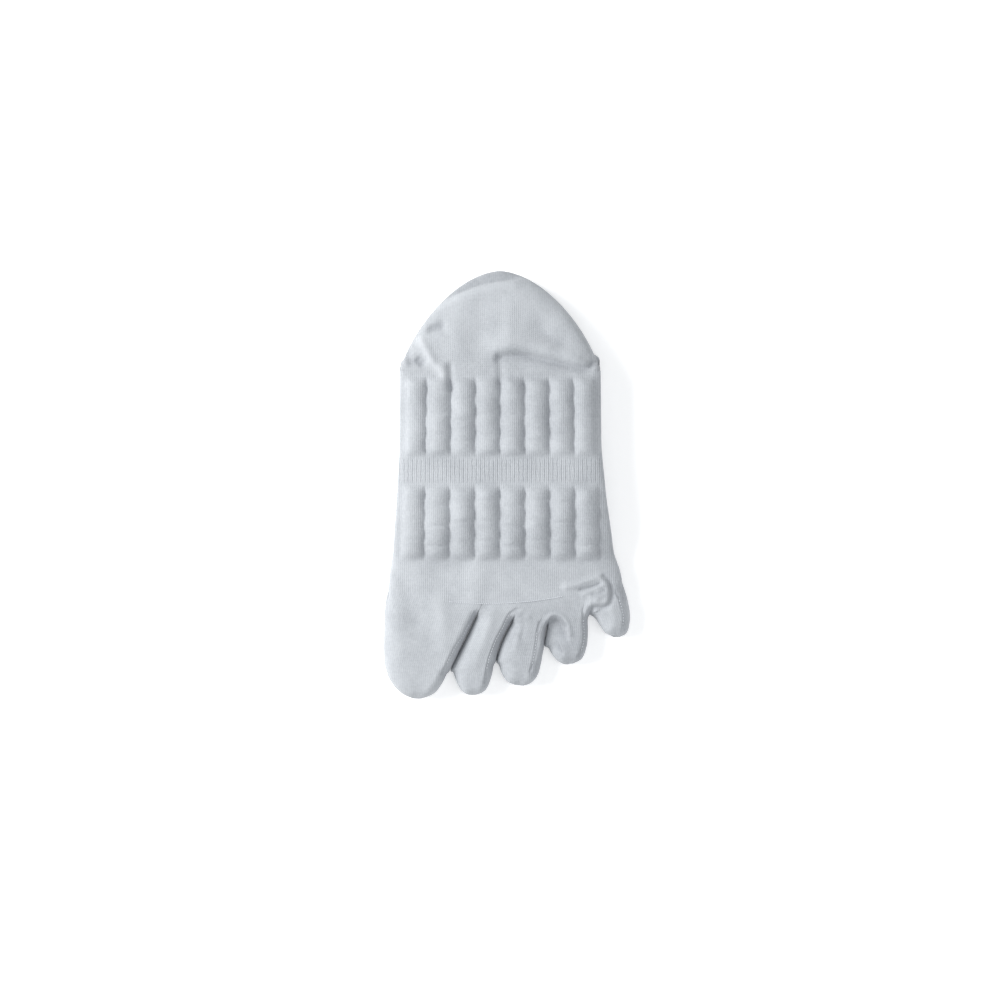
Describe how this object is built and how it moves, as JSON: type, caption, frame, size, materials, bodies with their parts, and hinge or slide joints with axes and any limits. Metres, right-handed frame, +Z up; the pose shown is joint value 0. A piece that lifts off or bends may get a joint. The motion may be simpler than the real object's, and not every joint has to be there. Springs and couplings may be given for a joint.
{
  "type": "toe sock",
  "caption": "Short knitted cotton toe sock lying flat, sole up, with separate toes, a padded ribbed sole, a heel pocket and its ankle folded under the foot",
  "frame": {"origin": "on the surface that the sock lies on, under the middle of its outline", "axes": "+Y from the toes to the heel, +X from the big toe to the little toe, +Z up, away from the surface and out of the sole"},
  "size_m": [0.1116, 0.1926, 0.0193],
  "materials": {
    "padded_knit": "matt, slightly fuzzy padded knit",
    "heel_knit": "matt, slightly fuzzy fine knit",
    "plain_knit": "matt fine knit",
    "rib_knit": "matt ribbed knit",
    "toe_knit": "matt, slightly fuzzy fine knit"
  },
  "bodies": {
    "root": {"foot_tube": "padded_knit", "heel_turn": "heel_knit", "leg_tube": "plain_knit", "cuff": "rib_knit", "big_toe": "toe_knit", "second_toe": "toe_knit", "third_toe": "toe_knit", "fourth_toe": "toe_knit", "little_toe": "toe_knit"}
  },
  "joints": []
}
